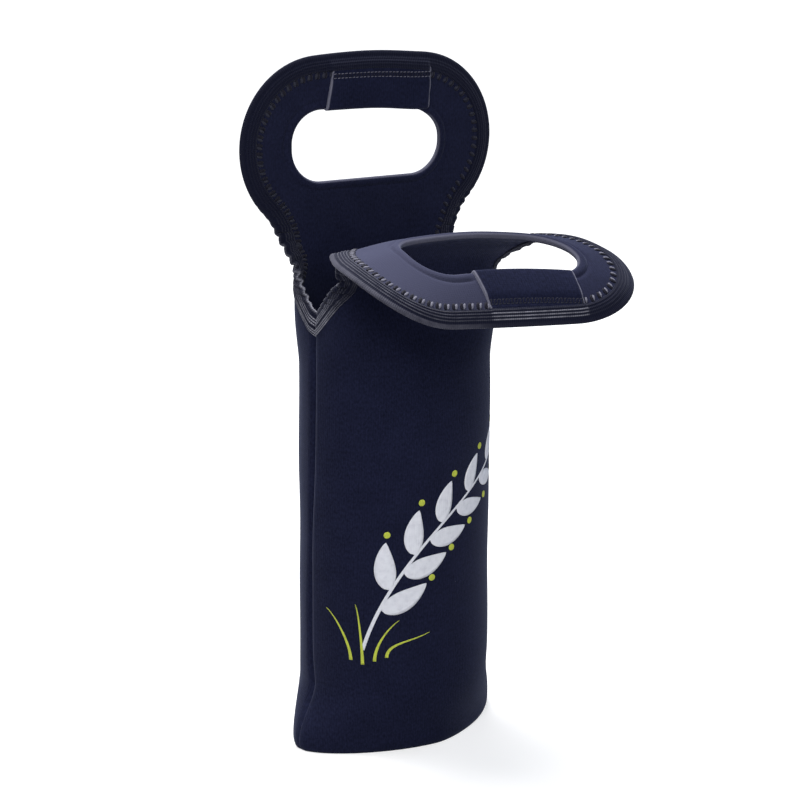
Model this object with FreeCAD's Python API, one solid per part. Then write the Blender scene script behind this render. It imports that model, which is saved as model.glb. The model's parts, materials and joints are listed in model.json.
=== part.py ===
import FreeCAD
import Part
import math
import os
from FreeCAD import Base, Vector

# Soft carrier for one bottle. Two cloth panels are sewn together at the sides and to a base panel.
# A handle loop grows out of the neck of each panel: the back one stands, the front one has fallen forward.
# Millimetres, +Z up, front towards -Y, origin on the floor under the middle of the base.

# Cloth, tape and thread
cloth = 3.0
tape = 0.8
tape_width = 11.0
thread = 0.6
thread_width = 1.2
thread_inset = 8.6
seam_allowance = 8.0
seam_layers = 2

# Gaps: between sewn layers, between the body and a turning handle, and past the end of a cut
fit = 0.2
swing_gap = 0.3
overrun = 20.0

# Filled body, from the floor to the foot of the mouth notch
body_height = 223.0
body_half_width = 51.0
body_half_depth = 45.0
belly_height = 110.0
shoulder_drop = 27.0
base_half_width = 55.5
base_half_depth = 40.5
base_tuck = 2.0
base_edge_height = 6.0
waist_height = 45.0
waist_half_width = 49.8
waist_half_depth = 43.0
groove_depth = 1.6
groove_reach = 4.0

# Section shapes: 2 is an ellipse, less is a lens, more is a rounded oblong
base_squareness = 1.8
body_squareness = 2.0
neck_squareness = 8.0
section_steps = 16
wall_steps = 10
seam_crowding_share = 0.7

# Neck, where the cloth bends and the handles turn
neck_half_width = 53.0
neck_half_depth = 33.0
neck_corner = 1.5
flank_margin = 2.0
mouth_half_gap = 27.0
mouth_height = 26.0
knuckle_radius = 2.0

# Handle loop in its flat pattern, measured up from the hinge
loop_half_width = 75.0
loop_corner_radius = 45.0
loop_corner_height = 57.0
loop_crown = 1.0
neck_straight = 3.0
binding_foot = 5.0
hole_half_width = 43.8
hole_foot = 38.0
hole_height = 36.5
hole_corner_radius = 14.0

# Grip tongue and its stitches
tongue_length = 60.0
tongue_offset = 8.0
tongue_cloth = 2.6
stitch_inset = 2.0
stitch_pitch = 3.0
stitch_rows = 2

# Fallen front loop: it leaves the neck at a slope and bends over a drum
fall_slope_deg = 64.0
fall_radius = 39.5
curve_steps = 12

# Worked out from the sizes above
shoulder_height = body_height - shoulder_drop
hinge_height = body_height + mouth_height
neck_top = hinge_height - knuckle_radius - swing_gap
hinge_depth = neck_half_depth - cloth / 2
notch_height = neck_top - body_height
notch_lean = math.atan2(mouth_half_gap, notch_height)
half_cloth = cloth / 2
tape_face = half_cloth + fit + tape
inner_wall = -cloth
lining = inner_wall - fit
base_allowance_height = cloth + seam_allowance
far = base_half_width + body_half_depth + overrun
corner_centre = loop_half_width - loop_corner_radius
crown_radius = (corner_centre ** 2 + 2 * loop_corner_radius * loop_crown + loop_crown ** 2) / (2 * loop_crown)
loop_height = loop_corner_height + loop_corner_radius + loop_crown
crown_centre = loop_height - crown_radius
neck_step = neck_half_width - corner_centre
neck_rise = loop_corner_height - neck_straight
neck_span = math.hypot(neck_step, neck_rise)
neck_radius = (neck_span ** 2 - loop_corner_radius ** 2) / (2 * (loop_corner_radius - neck_step))
hole_top = hole_foot + hole_height
tongue_left = tongue_offset - tongue_length / 2
tongue_right = tongue_offset + tongue_length / 2
tongue_past = max(abs(tongue_left), abs(tongue_right), corner_centre) - corner_centre
tongue_top = loop_corner_height + math.sqrt((loop_corner_radius - tape_width) ** 2 - tongue_past ** 2) - fit


def ease(height, low, high):
    """0 below one height, 1 above another, and a smooth step between."""
    share = min(max((height - low) / (high - low), 0), 1)
    return share * share * (3 - 2 * share)


def profile(height):
    """Half width, half depth and squareness of the cloth's outer face at a height."""
    foot = (base_half_width, base_half_depth, base_squareness)
    waist = (waist_half_width, waist_half_depth, body_squareness)
    belly = (body_half_width, body_half_depth, body_squareness)
    neck = (neck_half_width + neck_corner, neck_half_depth, neck_squareness)
    rise = ease(height, base_edge_height, waist_height)
    swell = ease(height, waist_height, belly_height)
    close = ease(height, shoulder_height, neck_top)
    tuck = base_tuck * (1 - min(height / base_edge_height, 1)) ** 2
    sizes = []
    for low, middle, high, top in zip(foot, waist, belly, neck):
        sizes.append(low + (middle - low) * rise + (high - middle) * swell + (top - high) * close)
    return sizes[0] - tuck, sizes[1] - tuck, sizes[2]


def half_curve(height, grow, side, groove):
    """Points of the front (-1) or back (1) half of the body's outline, grow outside the cloth."""
    half_width, half_depth, squareness = profile(height)
    points = []
    for step in range(section_steps + 1):
        share = step / section_steps
        turn = math.pi * share - seam_crowding_share * math.sin(2 * math.pi * share) / 2
        across = abs(math.cos(turn)) / (half_width + grow)
        deep = abs(math.sin(turn)) / (half_depth + grow)
        reach = (across ** squareness + deep ** squareness) ** (-1 / squareness)
        y = side * reach * math.sin(turn)
        dip = groove * math.exp(-((y / groove_reach) ** 2))
        x = reach * math.cos(turn)
        points.append(Vector(x - math.copysign(dip, x), y, height))
    return points


def half_section(height, side, low, high):
    """Closed outline of one half of the wall at one height, between two surfaces of the body."""
    edges = []
    ends = []
    for grow in (low, high):
        points = half_curve(height, grow, side, groove_depth if grow >= 0 else 0)
        curve = Part.BSplineCurve()
        curve.interpolate(points)
        edges.append(curve.toShape())
        ends.append((points[0], points[-1]))
    for inner, outer in zip(*ends):
        edges.append(Part.makeLine(inner, outer))
    return Part.Wire(Part.__sortEdges__(edges))


def half_wall(side, low, high):
    """Front (-1) or back (1) half of the wall between two surfaces, counted from the cloth's outer face."""
    heights = [0]
    for step in range(wall_steps + 1):
        heights.append(base_edge_height + (neck_top - base_edge_height) * step / wall_steps)
    return Part.makeLoft([half_section(height, side, low, high) for height in heights], True, False)


def block(x, y, z):
    """Box from three pairs of limits."""
    corner = Vector(x[0], y[0], z[0])
    return Part.makeBox(x[1] - x[0], y[1] - y[0], z[1] - z[0], corner)


def ring(low, high, room):
    """What a box holds of the wall between two surfaces, with its front and back halves joined."""
    front = half_wall(-1, low, high).common(room)
    back = half_wall(1, low, high).common(room)
    return front.fuse(back).removeSplitter()


def notch(inset):
    """Wedge that opens the mouth between the panels, its two slopes moved into the cloth by inset."""
    foot = body_height - inset / math.sin(notch_lean)
    top = neck_top + overrun
    reach = (top - foot) * math.tan(notch_lean)
    low = Vector(-far, 0, foot)
    outline = [low, Vector(-far, reach, top), Vector(-far, -reach, top), low]
    return Part.Face(Part.makePolygon(outline)).extrude(Vector(2 * far, 0, 0))


def panel(side):
    """Front or back cloth of the body, up to the neck."""
    return half_wall(side, inner_wall, 0).cut(notch(0))


def base_outline(grow):
    """Flat outline of the body at the floor, moved out by grow."""
    curves = []
    for side in (-1, 1):
        curve = Part.BSplineCurve()
        curve.interpolate(half_curve(0, grow, side, 0))
        curves.append(curve.toShape())
    return Part.Face(Part.Wire(Part.__sortEdges__(curves)))


def base_ring(low, high, floor, top):
    """Upright band inside the foot of the walls, between two outlines and two heights."""
    band = base_outline(high).cut(base_outline(low))
    band.translate(Vector(0, 0, floor))
    return band.Faces[0].extrude(Vector(0, 0, top - floor))


def base_panel():
    """Cloth of the bottom, inside the foot of the walls."""
    return base_outline(lining).extrude(Vector(0, 0, cloth))


def base_allowance():
    """Turned-in edges of the walls and the base, standing on the base panel."""
    return base_ring(lining - seam_layers * cloth, lining, cloth, base_allowance_height)


def base_thread():
    """Row of stitches round the inside of the base allowance."""
    face = lining - seam_layers * cloth - fit
    middle = cloth + seam_allowance / 2
    return base_ring(face - thread, face, middle, middle + thread_width)


def seam_room(side, y):
    """Upright box at a side seam, from the base allowance to the mouth."""
    x = (-far, 0) if side < 0 else (0, far)
    return block(x, y, (base_allowance_height + fit, body_height)).cut(notch(tape_width + fit))


def side_allowance(side):
    """Turned-in edges of both panels at a side seam."""
    thick = seam_layers * half_cloth
    return ring(lining - seam_allowance, lining, seam_room(side, (-thick, thick)))


def side_thread(side):
    """Needle thread and bobbin thread, one on each face of the side allowance."""
    face = seam_layers * half_cloth + fit
    middle = lining - seam_allowance / 2
    rows = []
    for panel_side, y in ((1, (face, face + thread)), (-1, (-face - thread, -face))):
        wall = half_wall(panel_side, middle - thread_width, middle)
        rows.append(wall.common(seam_room(side, y)))
    return Part.makeCompound(rows)


def mouth_edge(wall, inset, outset, side):
    """What a wall has along one sloping edge of the mouth, from inset inside the edge to outset past it."""
    inner = min(neck_half_width, body_half_width + flank_margin) - inset
    x = (-far, -inner) if side < 0 else (inner, far)
    foot = body_height - inset / math.sin(notch_lean)
    flank = wall.common(block(x, (-far, far), (foot - fit, neck_top + overrun)))
    return flank.common(notch(inset)).cut(notch(-outset))


def mouth_binding(side, flank):
    """Tape folded over one sloping edge of the mouth."""
    over = mouth_edge(half_wall(side, lining - tape, fit + tape), tape_width, fit + tape, flank)
    under = mouth_edge(half_wall(side, lining, fit), tape_width + overrun, fit, flank)
    return over.cut(under)


def mouth_thread(side):
    """Stitches on the outer face of the mouth tape, on both slopes."""
    face = fit + tape + fit
    wall = half_wall(side, face, face + thread)
    rows = [mouth_edge(wall, thread_inset + thread_width, -thread_inset, flank) for flank in (-1, 1)]
    return Part.makeCompound(rows)


def swung(centre, radius, direction):
    """Point at a distance from a centre, in a direction of the flat pattern."""
    return centre + Vector(direction).normalize() * radius


def swing(centre, radius, start, end):
    """Arc about a centre from one direction to another, by the short way."""
    middle = Vector(start).normalize() + Vector(end).normalize()
    return Part.Arc(swung(centre, radius, start), swung(centre, radius, middle), swung(centre, radius, end))


def loop_outline(inset):
    """Flat face of the loop, its edge moved in by inset, running on below the hinge line."""
    edges = []
    ends = []
    for side in (-1, 1):
        corner = Vector(side * corner_centre, loop_corner_height)
        neck = Vector(side * (neck_half_width + neck_radius), neck_straight)
        top = corner - Vector(0, crown_centre)
        foot = Vector(side * (neck_half_width - inset), -overrun)
        inward = Vector(-side, 0)
        edges.append(Part.LineSegment(foot, swung(neck, neck_radius + inset, inward)))
        edges.append(swing(neck, neck_radius + inset, inward, corner - neck))
        edges.append(swing(corner, loop_corner_radius - inset, neck - corner, top))
        ends.append((foot, top))
    edges.append(swing(Vector(0, crown_centre), crown_radius - inset, ends[0][1], ends[1][1]))
    edges.append(Part.LineSegment(ends[0][0], ends[1][0]))
    return Part.Face(Part.Wire(Part.__sortEdges__([edge.toShape() for edge in edges])))


def strip(x, y):
    """Flat oblong of the pattern."""
    corners = [Vector(x[0], y[0]), Vector(x[1], y[0]), Vector(x[1], y[1]), Vector(x[0], y[1])]
    return Part.Face(Part.makePolygon(corners + corners[:1]))


def loop_from(inset, foot):
    """The loop's flat face above a line."""
    return loop_outline(inset).common(strip((-far, far), (foot, loop_height + overrun))).Faces[0]


def loop_band(outer, inner):
    """Flat band along the loop's edge, between two insets."""
    return loop_from(outer, binding_foot).cut(loop_outline(inner)).Faces[0]


def hand_hole():
    """Flat rounded oblong of the hand hole."""
    edges = []
    x = hole_half_width - hole_corner_radius
    low = hole_foot + hole_corner_radius
    high = hole_top - hole_corner_radius
    centres = [Vector(x, low), Vector(x, high), Vector(-x, high), Vector(-x, low)]
    turns = [Vector(1, 0), Vector(0, 1), Vector(-1, 0), Vector(0, -1)]
    for index, centre in enumerate(centres):
        start = turns[index - 1]
        end = turns[index]
        edges.append(swing(centre, hole_corner_radius, start, end).toShape())
        nearest = swung(centre, hole_corner_radius, end)
        following = swung(centres[(index + 1) % len(centres)], hole_corner_radius, end)
        edges.append(Part.makeLine(nearest, following))
    return Part.Face(Part.Wire(Part.__sortEdges__(edges)))


def lay_flat(face, low, high):
    """Standing back loop: a flat pattern made solid between two depths towards the bottle."""
    standing = face.copy()
    standing.rotate(Vector(0, 0, 0), Vector(1, 0, 0), 90)
    standing.translate(Vector(0, hinge_depth - low, hinge_height))
    return standing.extrude(Vector(0, low - high, 0))


def drum(radius):
    """Cylinder that the fallen front loop is bent over."""
    slope = math.radians(fall_slope_deg)
    surface = Part.Cylinder()
    surface.Center = Vector(
        0, -hinge_depth - fall_radius * math.sin(slope), hinge_height - fall_radius * math.cos(slope)
    )
    surface.Axis = Vector(1, 0, 0)
    surface.Radius = radius
    return surface


def wrapped(edge, surface):
    """Edge of the flat pattern, laid on the drum."""
    start = math.radians(90 - fall_slope_deg)
    points = [Base.Vector2d(start + point.y / fall_radius, point.x) for point in edge.discretize(curve_steps)]
    curve = Part.Geom2d.BSplineCurve2d()
    curve.interpolate(Points=points, Parameters=[float(step) for step in range(curve_steps)])
    return curve.toShape(surface)


def lay_bent(face, low, high):
    """Fallen front loop: a flat pattern bent over the drum and made solid between two depths."""
    under = drum(fall_radius + low)
    over = drum(fall_radius + high)
    edges = face.OuterWire.OrderedEdges
    faces = []
    for surface in (under, over):
        outline = [wrapped(edge, surface) for edge in edges]
        faces.append(Part.Face(surface, Part.Wire(outline)))
    for edge in edges:
        faces.append(Part.makeRuledSurface(wrapped(edge, under), wrapped(edge, over)))
    shell = Part.makeShell(faces)
    shell.sewShape()
    solid = Part.Solid(shell)
    if solid.Volume < 0:
        solid.reverse()
    return solid


def handle_loop(lay, side):
    """Cloth loop with its hand hole and the round knuckle that it turns on."""
    sheet = lay(loop_from(0, 0), -half_cloth, half_cloth)
    hole = lay(hand_hole(), -cloth, cloth)
    start = Vector(-neck_half_width, side * hinge_depth, hinge_height)
    knuckle = Part.makeCylinder(knuckle_radius, 2 * neck_half_width, start, Vector(1, 0, 0))
    return sheet.cut(hole).fuse(knuckle)


def grip_tongue(lay):
    """Cloth folded out of the hand hole and over the inner face of the grip."""
    face = half_cloth + fit
    fold_top = hole_top - fit
    fold_foot = fold_top - tongue_cloth
    straight = hole_half_width - hole_corner_radius
    fold_x = (max(tongue_left, -straight), min(tongue_right, straight))
    layer = lay(strip((tongue_left, tongue_right), (fold_foot, tongue_top)), face, face + tongue_cloth)
    fold = lay(strip(fold_x, (fold_foot, fold_top)), -half_cloth, face + tongue_cloth / 2)
    return layer.fuse(fold)


def grip_stitch(lay):
    """Rows of stitches across the top of the tongue."""
    face = half_cloth + fit + tongue_cloth
    rows = []
    for row in range(stitch_rows):
        top = tongue_top - stitch_inset - row * stitch_pitch
        across = strip((tongue_left + stitch_inset, tongue_right - stitch_inset), (top - thread_width, top))
        rows.append(lay(across, face + fit, face + fit + thread))
    return Part.makeCompound(rows)


def handle_binding(lay):
    """Tape folded over the outer edge of the loop."""
    band = lay(loop_band(-fit - tape, tape_width), -tape_face, tape_face)
    inside = lay(loop_from(-fit, 0), -half_cloth - fit, half_cloth + fit)
    return band.cut(inside)


def binding_thread(lay):
    """Stitches that hold the tape, on both faces of the loop."""
    band = loop_band(thread_inset, thread_inset + thread_width)
    near = tape_face + fit
    rows = [lay(band, near, near + thread), lay(band, -near - thread, -near)]
    return Part.makeCompound(rows)


def pieces():
    """Every piece of the carrier under its own name."""
    made = {
        "base_panel": base_panel(),
        "base_seam_allowance": base_allowance(),
        "base_seam_thread": base_thread(),
    }
    for name, side in (("left", -1), ("right", 1)):
        made[name + "_seam_allowance"] = side_allowance(side)
        made[name + "_seam_thread"] = side_thread(side)
    for name, side, lay in (("front", -1, lay_bent), ("back", 1, lay_flat)):
        made[name + "_panel"] = panel(side)
        made[name + "_mouth_binding_left"] = mouth_binding(side, -1)
        made[name + "_mouth_binding_right"] = mouth_binding(side, 1)
        made[name + "_mouth_thread"] = mouth_thread(side)
        made[name + "_handle_loop"] = handle_loop(lay, side)
        made[name + "_grip_tongue"] = grip_tongue(lay)
        made[name + "_grip_stitch"] = grip_stitch(lay)
        made[name + "_handle_binding"] = handle_binding(lay)
        made[name + "_binding_thread"] = binding_thread(lay)
    return made


os.makedirs("parts", exist_ok=True)
for name, shape in pieces().items():
    shape.exportStep("parts/" + name + ".step")
    print(name, len(shape.Solids), "solids", round(shape.Volume), "mm3", shape.isValid())
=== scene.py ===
# %% [markdown]
# A soft upright carrier, cut from foam-backed knit cloth: two panels sewn together at the sides, each with
# a handle loop growing out of its neck. The back loop stands, the front one has fallen forward like a
# visor. Everything here is built from one flat pattern, in millimetres, that a function lays on the
# carrier's shape. The cloth, the tape on its edges and every stitch use that one function, so they stay
# together.

# %% Load the frame
import json

import bmesh
import bpy
import numpy as np
from mathutils.kdtree import KDTree
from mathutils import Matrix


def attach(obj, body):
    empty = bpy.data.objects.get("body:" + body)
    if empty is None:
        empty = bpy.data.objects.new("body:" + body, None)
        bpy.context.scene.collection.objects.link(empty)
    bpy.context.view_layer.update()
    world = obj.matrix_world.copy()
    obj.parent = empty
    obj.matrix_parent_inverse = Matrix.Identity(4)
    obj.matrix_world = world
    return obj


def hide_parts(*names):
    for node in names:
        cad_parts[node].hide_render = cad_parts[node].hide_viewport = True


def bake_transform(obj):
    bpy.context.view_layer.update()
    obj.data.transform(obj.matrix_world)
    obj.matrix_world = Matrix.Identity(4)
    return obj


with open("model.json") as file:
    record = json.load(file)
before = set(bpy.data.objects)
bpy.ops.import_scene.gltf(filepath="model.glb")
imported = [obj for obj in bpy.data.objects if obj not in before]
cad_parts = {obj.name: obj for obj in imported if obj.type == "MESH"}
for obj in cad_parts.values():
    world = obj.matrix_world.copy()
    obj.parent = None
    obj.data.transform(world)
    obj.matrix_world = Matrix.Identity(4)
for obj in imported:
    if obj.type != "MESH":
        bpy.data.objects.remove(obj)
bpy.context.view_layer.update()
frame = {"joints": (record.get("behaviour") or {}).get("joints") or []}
hinges = {joint["name"]: np.array(joint["pos_m"]) * 1000 for joint in frame["joints"]}
MM = 0.001

# %% [markdown]
# The photograph is a studio shot on white. The camera stands to the left of the front and looks down a
# little. Its place was worked out from the outline of the carrier, so a long lens from just over a metre
# away gives the same perspective.

# %% Camera
view_azimuth = np.radians(32)
view_pitch = np.radians(13.8)
view_distance = 1178
view_height = 465
view_side_step = 3
focal_pixels = 2355
image_pixels = 800
sensor = 36


def place_in_scene(name, data):
    """Object made from its data and linked to the scene."""
    made = bpy.data.objects.new(name, data)
    bpy.context.scene.collection.objects.link(made)
    return made


camera_data = bpy.data.cameras.new("camera")
camera_data.sensor_width = sensor
camera_data.lens = focal_pixels / image_pixels * sensor
camera = place_in_scene("camera", camera_data)
forward = np.array([np.sin(view_azimuth), np.cos(view_azimuth), 0])
sideways = np.array([np.cos(view_azimuth), -np.sin(view_azimuth), 0])
place = -forward * view_distance + sideways * view_side_step + np.array([0, 0, view_height])
camera.location = place * MM
camera.rotation_euler = (np.pi / 2 - view_pitch, 0, -view_azimuth)
bpy.context.scene.camera = camera
bpy.context.scene.view_settings.view_transform = "Standard"
print("camera at", [round(v, 1) for v in place], "lens", round(camera_data.lens, 1))

# %% [markdown]
# Three soft boxes light the cloth: one in front on the left, one above, and a weak bluish one on the right.
# Light Path lets the camera, mirrors and glass see plain white while the object itself is lit by these
# lamps and a dim, bluish world. That keeps dark cloth dark on a white page. The floor glows to the camera
# alone, less near the object, so it comes out white and still darkens where the shadow falls. Small helpers
# add a node with its settings and inputs in one call, and every later tree uses them too.

# %% Floor, world and lamps
floor_reach = 6.0
floor_grey = 0.5
glow_near, glow_far = 0.6, 1.0
glow_start, glow_end = 0.25, 1.1
world_blue, world_strength = (0.6, 0.74, 1, 1), 0.16
white = (1, 1, 1, 1)
lamp_white, lamp_blue = (1, 0.99, 0.98), (0.5, 0.66, 1)
# Place and target in metres, size, power and colour of each soft box
lamps = {
    "front_box": ((-0.66, -1.04, 0.95), (0, 0, 0.2), 0.8, 14.4, lamp_white),
    "top_box": ((-0.08, 0.33, 1.46), (0, -0.07, 0.27), 0.6, 32, lamp_white),
    "right_box": ((1.2, 0.2, 0.7), (0, 0, 0.25), 0.4, 2.2, lamp_blue),
}


def set_inputs(tree, node, inputs):
    """Give a node's inputs plain values, or links from other sockets."""
    for key, value in inputs.items():
        if isinstance(value, bpy.types.NodeSocket):
            tree.links.new(value, node.inputs[key])
        else:
            node.inputs[key].default_value = value


def add_node(tree, kind, inputs=None, **settings):
    """New node with its settings and inputs."""
    node = tree.nodes.new(kind)
    for label, value in settings.items():
        setattr(node, label, value)
    set_inputs(tree, node, inputs or {})
    return node


def math_node(tree, operation, *values, clamp=False):
    """One step of arithmetic; each value is a number or a socket."""
    inputs = dict(enumerate(values))
    return add_node(tree, "ShaderNodeMath", inputs, operation=operation, use_clamp=clamp).outputs[0]


def new_material(name, inputs):
    """Material with its nodes and its shader, whose plain inputs are set."""
    material = bpy.data.materials.new(name)
    material.use_nodes = True
    tree = material.node_tree
    shader = tree.nodes["Principled BSDF"]
    set_inputs(tree, shader, inputs)
    return material, tree, shader


def seen_directly(tree):
    """1 for rays from the camera, a mirror or glass, and 0 for light."""
    path = add_node(tree, "ShaderNodeLightPath").outputs
    seen = math_node(tree, "MAXIMUM", path["Is Camera Ray"], path["Is Glossy Ray"])
    return math_node(tree, "MAXIMUM", seen, path["Is Transmission Ray"])


def make_world():
    """Dim even light from all round, white to the camera."""
    world = bpy.data.worlds.new("studio")
    world.use_nodes = True
    tree = world.node_tree
    glow = tree.nodes["Background"]
    set_inputs(tree, glow, {"Color": world_blue, "Strength": world_strength})
    page = add_node(tree, "ShaderNodeBackground", {"Color": white})
    choice = {0: seen_directly(tree), 1: glow.outputs[0], 2: page.outputs[0]}
    mix = add_node(tree, "ShaderNodeMixShader", choice)
    set_inputs(tree, tree.nodes["World Output"], {"Surface": mix.outputs[0]})
    bpy.context.scene.world = world


def make_floor():
    """Pale floor that takes a soft shadow."""
    mesh = bpy.data.meshes.new("floor")
    r = floor_reach
    mesh.from_pydata([(-r, -r, 0), (r, -r, 0), (r, r, 0), (-r, r, 0)], [], [(0, 1, 2, 3)])
    floor = place_in_scene("floor", mesh)
    grey = (floor_grey, floor_grey, floor_grey, 1)
    looks = {"Base Color": grey, "Roughness": 0.9, "Emission Color": white}
    paint, tree, shader = new_material("floor_paint", looks)
    coords = add_node(tree, "ShaderNodeTexCoord").outputs["Object"]
    away = add_node(tree, "ShaderNodeVectorMath", {0: coords}, operation="LENGTH").outputs["Value"]
    span = {"From Min": glow_start, "From Max": glow_end, "To Min": glow_near, "To Max": glow_far}
    ramp = add_node(tree, "ShaderNodeMapRange", {"Value": away, **span})
    glow = math_node(tree, "MULTIPLY", seen_directly(tree), ramp.outputs[0])
    set_inputs(tree, shader, {"Emission Strength": glow})
    mesh.materials.append(paint)


def make_lamp(name, place, target, size, power, colour):
    """Square soft box that faces a target, all in metres."""
    data = bpy.data.lights.new(name, "AREA")
    data.size = size
    data.energy = power
    data.color = colour
    lamp = place_in_scene(name, data)
    lamp.location = place
    aim = np.array(target) - np.array(place)
    flat = np.hypot(aim[0], aim[1])
    lamp.rotation_euler = (np.arctan2(flat, -aim[2]), 0, np.arctan2(aim[1], aim[0]) - np.pi / 2)


make_world()
make_floor()
for name, lamp in lamps.items():
    make_lamp(name, *lamp)
print("floor, world and", len(lamps), "soft boxes")

# %% [markdown]
# The body is a filled sleeve. At every height its outline is a rounded shape with a half width, a half
# depth and a squareness: a lens at the floor, an ellipse at the belly, nearly an oblong at the neck.
# Measuring the outline from the middle of the panel gives each point of the flat cloth its place on the
# sleeve. A groove follows the side seams, and the foot and the neck are turned and shifted a little, since
# soft cloth never stands quite straight.

# %% Sections of the body
cloth = 3.0
notch_foot = 225.0
neck_line = hinges["back_handle_fold"][2]
neck_top = neck_line - 2.3
half_gap = 23.2
seam_roll, seam_reach = 2.4, 4.0
seam_foot_share, seam_rise = 0.3, (8, 40)
# Half width, half depth and squareness, from the floor to the neck
foot_shape = (63.5, 40.5, 1.55)
waist_shape = (51.2, 43.8, 2.0)
belly_shape = (51.0, 45.0, 2.0)
neck_shape = (49.2, 33.0, 4.0)
foot_height, waist_height, belly_height, shoulder_height = 4.0, 33.0, 110.0, 196.0
foot_tuck = 1.5
# Turns and shifts of the foot and the neck, with the heights over which they come and go
foot_turn, neck_turn = np.radians(8.5), np.radians(4.5)
foot_shift, neck_shift = -1.3, 0.7
foot_fade, neck_shift_rise = (0, 50), (130, 205)
neck_turn_rise, neck_turn_fade = (60, 200), (212, 250)
section_heights = np.arange(0, 301.0)
section_shares = np.linspace(0, 1, 241)
outline_steps = 400


def ease(value, low, high):
    """0 below one value, 1 above another, and a smooth step between."""
    share = np.clip((value - low) / (high - low), 0, 1)
    return share * share * (3 - 2 * share)


def walk(points):
    """Length walked along a line, up to each of its points."""
    return np.concatenate([[0], np.cumsum(np.linalg.norm(np.diff(points, axis=0), axis=1))])


def profile(height):
    """Half width, half depth and squareness of the cloth's outer face at a height."""
    rise = ease(height, foot_height, waist_height)
    swell = ease(height, waist_height, belly_height)
    close = ease(height, shoulder_height, neck_top)
    tuck = foot_tuck * (1 - min(max(height, 0) / foot_height, 1)) ** 2
    sizes = []
    for low, middle, high, top in zip(foot_shape, waist_shape, belly_shape, neck_shape):
        sizes.append(low + (middle - low) * rise + (high - middle) * swell + (top - high) * close)
    return sizes[0] - tuck, sizes[1] - tuck, sizes[2]


def outline_points(height, grow_by, across, deep):
    """Points of the body's outline, moved out by an amount, in directions given across and deep."""
    half_width, half_depth, squareness = profile(height)
    wide = np.abs(across) / (half_width + grow_by)
    long = np.abs(deep) / (half_depth + grow_by)
    reach = (wide**squareness + long**squareness) ** (-1 / squareness)
    return reach * across, reach * deep


def quarter_row(height):
    """Quarter outline from the middle of a panel to the side seam, at even shares of its length."""
    turn = np.linspace(0, np.pi / 2, outline_steps)
    x, y = outline_points(height, -cloth / 2, np.sin(turn), np.cos(turn))
    walked = walk(np.stack([x, y], 1))
    even = section_shares * walked[-1]
    x, y = np.interp(even, walked, x), np.interp(even, walked, y)
    roll = seam_roll * (seam_foot_share + (1 - seam_foot_share) * ease(height, *seam_rise))
    groove = np.clip(1 - (1 - section_shares) * walked[-1] / seam_reach, 0, 1) ** 2
    return x - roll * groove, y, walked[-1]


section_rows = [quarter_row(height) for height in section_heights]
section_x, section_y, section_length = (np.array(column) for column in zip(*section_rows))


def quarter(height):
    """Length of cloth from the middle of a panel to the side seam."""
    return np.interp(height, section_heights, section_length)


def settled(x, y, height):
    """The same place after the small turns and shifts of the foot and the neck."""
    foot = 1 - ease(height, *foot_fade)
    neck = ease(height, *neck_turn_rise) * (1 - ease(height, *neck_turn_fade))
    turn = foot_turn * foot + neck_turn * neck
    shift = foot_shift * foot + neck_shift * ease(height, *neck_shift_rise)
    return x * np.cos(turn) - y * np.sin(turn) + shift, x * np.sin(turn) + y * np.cos(turn)


def on_body(side, x, v):
    """Middle of the cloth on the filled body, on the front (-1) or back (1) panel."""
    share = np.clip(np.abs(x) / quarter(v), 0, 1) * (len(section_shares) - 1)
    level = np.clip(v, 0, section_heights[-1] - 0.001)
    row, column = level.astype(int), np.minimum(share.astype(int), len(section_shares) - 2)
    up, along = level - row, share - column
    found = []
    for table in (section_x, section_y):
        low = table[row, column] * (1 - along) + table[row, column + 1] * along
        high = table[row + 1, column] * (1 - along) + table[row + 1, column + 1] * along
        found.append(low * (1 - up) + high * up)
    return np.stack([*settled(np.sign(x) * found[0], side * found[1], v), v], 1)


print("panel width at the belly", round(2 * quarter(belly_height)), "mm")

# %% [markdown]
# Above the neck the panel goes on as the handle loop. The back loop stands straight up and sags a little
# beside its grip. The front one bends over: its heading, the angle of the cloth in side view, swings from
# upright to almost straight down. Adding up small steps along that heading gives the curve. The fallen loop
# also turns to one side and droops at its ends, its left corner curls down and in, its left ridge sags, and
# its right tip lifts, as soft cloth does.

# %% Lay the flat pattern on the carrier
fall_heights = (238, 249, 279, 309, 352)
fall_headings = (90, 76, 13, -27, -73)
fall_step = 0.5
fall_smoothing = 12.0
fall_v = np.arange(200, 372, fall_step)
fall_turn, fall_roll = np.radians(7.5), np.radians(2.7)
fall_droop, droop_reach = 9.0, 75
curl_drop, curl_in = 4.5, 4.0
ridge_drop = 3.3
tip_lift, tip_in = 1.8, 1.5
# Ranges across and along the flat loop over which those moves come and go
turn_rise, droop_rise, bend_rise = (240, 285), (250, 300), (244, 264)
curl_across, curl_fade, curl_fade_share = (28, 72), (280, 310), 0.5
ridge_across, ridge_end, ridge_fade = (-15, 60), (50, 72), (280, 306)
tip_across, tip_rise, tip_fade = (52, 74), (256, 282), (298, 324)
draw_across, draw_rise = (48, 75), (280, 305)
# From the body onto a loop, and the standing loop's shift and sag
loop_rise = (240, 263)
stand_shift, stand_rise = 4.0, (232, 262)
grip_sag, sag_middle, sag_reach = 2.8, 34.0, 22.0
sag_rise, sag_fade, sag_fade_share = (294, 322), (328, 350), 0.6
normal_step = 0.8


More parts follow.
